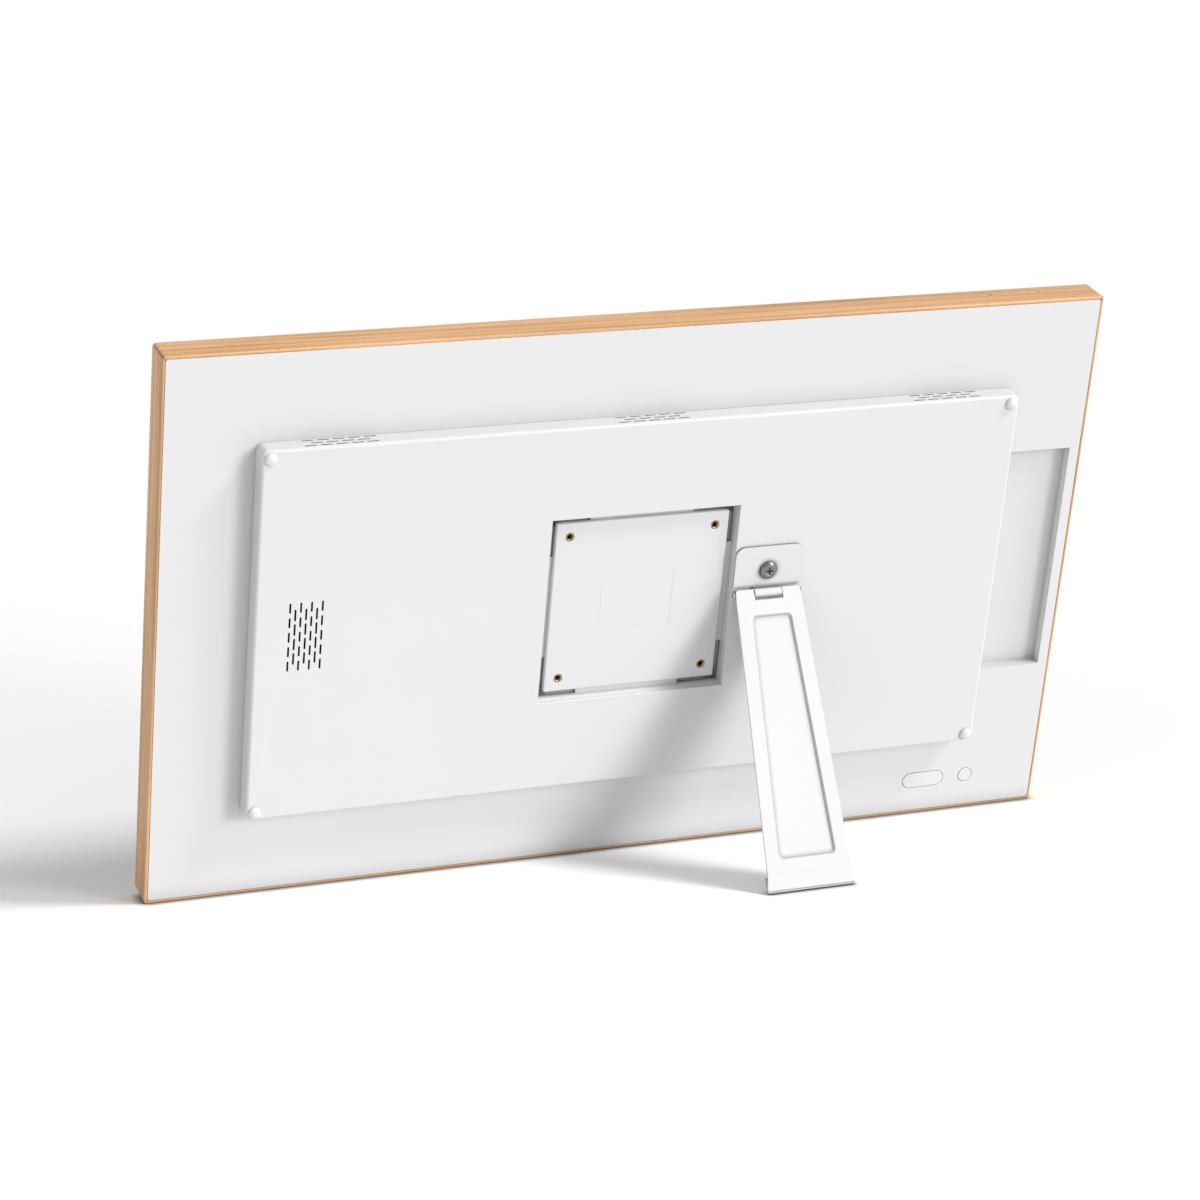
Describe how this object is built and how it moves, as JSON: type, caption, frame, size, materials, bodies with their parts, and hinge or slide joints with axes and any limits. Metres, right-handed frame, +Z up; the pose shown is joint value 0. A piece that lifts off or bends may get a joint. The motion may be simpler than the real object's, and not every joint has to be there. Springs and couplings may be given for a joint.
{
  "type": "digital photo frame",
  "caption": "Landscape digital photo frame with a mitred wood surround, white rear housing, square mounting plate, keys, and a fold-out sheet-metal leg.",
  "frame": {"origin": "middle of the footprint, on the surface that the object stands on", "axes": "+X along the frame's long side, +Y towards the back where the leg is, +Z up; the display faces -Y and leans back by 13.3 degrees"},
  "size_m": [0.635, 0.1568, 0.3698],
  "materials": {
    "oak": "light oak, satin oil, fine straight grain along each rail",
    "front_glass": "clear cover glass over a dark display",
    "display": "dark liquid crystal cell",
    "acrylic": "clear acrylic light guide",
    "white_plastic": "white moulded plastic, very fine texture",
    "soft_white": "soft white bumper",
    "white_paint": "white powder coat on sheet steel",
    "steel": "plain zinc-plated steel",
    "dark_steel": "dark nickel-plated steel",
    "aluminium": "extruded aluminium",
    "brass": "turned brass",
    "black_plastic": "black moulded plastic",
    "rubber": "dark grey rubber",
    "circuit_board": "green solder mask",
    "amber_film": "amber flat cable film"
  },
  "bodies": {
    "frame": {"frame_rail_top": "oak", "frame_rail_bottom": "oak", "frame_rail_left": "oak", "frame_rail_right": "oak", "corner_block_1": "oak", "corner_block_2": "oak", "corner_block_3": "oak", "corner_block_4": "oak", "front_glass": "front_glass", "glass_gasket": "black_plastic", "lcd_cell": "display", "light_guide": "acrylic", "led_strip": "white_plastic", "backlight_pan": "steel", "rear_panel": "white_plastic", "rear_case": "white_plastic", "bumper_1": "soft_white", "bumper_2": "soft_white", "bumper_3": "soft_white", "bumper_4": "soft_white", "case_screw_1": "steel", "case_screw_2": "steel", "case_screw_3": "steel", "case_screw_4": "steel", "vesa_plate": "white_plastic", "vesa_insert_1": "brass", "vesa_insert_2": "brass", "vesa_insert_3": "brass", "vesa_insert_4": "brass", "vesa_bracket": "steel", "main_board": "circuit_board", "board_screw_1": "steel", "board_screw_2": "steel", "board_screw_3": "steel", "board_screw_4": "steel", "heat_sink": "aluminium", "dc_jack": "black_plastic", "usb_port": "steel", "card_slot": "steel", "speaker": "black_plastic", "speaker_gasket": "rubber", "speaker_lead": "black_plastic", "mic_board": "circuit_board", "display_ribbon": "amber_film", "button_ribbon": "amber_film", "wifi_antenna": "amber_film", "rocker_pin": "steel", "button_board": "circuit_board", "switch_volume_up": "black_plastic", "switch_volume_down": "black_plastic", "switch_power": "black_plastic", "stand_plate": "white_paint", "stand_screw": "dark_steel", "stand_nut": "steel"},
    "leg": {"stand_leg": "white_paint", "hinge_pin": "steel", "foot_strip": "rubber"},
    "volume_key": {"volume_rocker": "white_plastic"},
    "power_key": {"power_button": "white_plastic"}
  },
  "joints": [
    {"name": "leg_fold", "type": "hinge", "parent": "frame", "child": "leg", "pos_m": [-0.088, 0.00423, 0.18044], "axis": [-1, 0, 0], "range_deg": [0, 35]},
    {"name": "volume_rock", "type": "hinge", "parent": "frame", "child": "volume_key", "pos_m": [-0.231, -0.05402, 0.02567], "axis": [0, 0.2294, 0.9733], "range_deg": [-2, 2], "stiffness_Nm_per_rad": 0.5},
    {"name": "power_press", "type": "slide", "parent": "frame", "child": "power_key", "axis": [0, -0.9733, 0.2294], "range_m": [0, 0.0006], "stiffness_N_per_m": 1500}
  ]
}
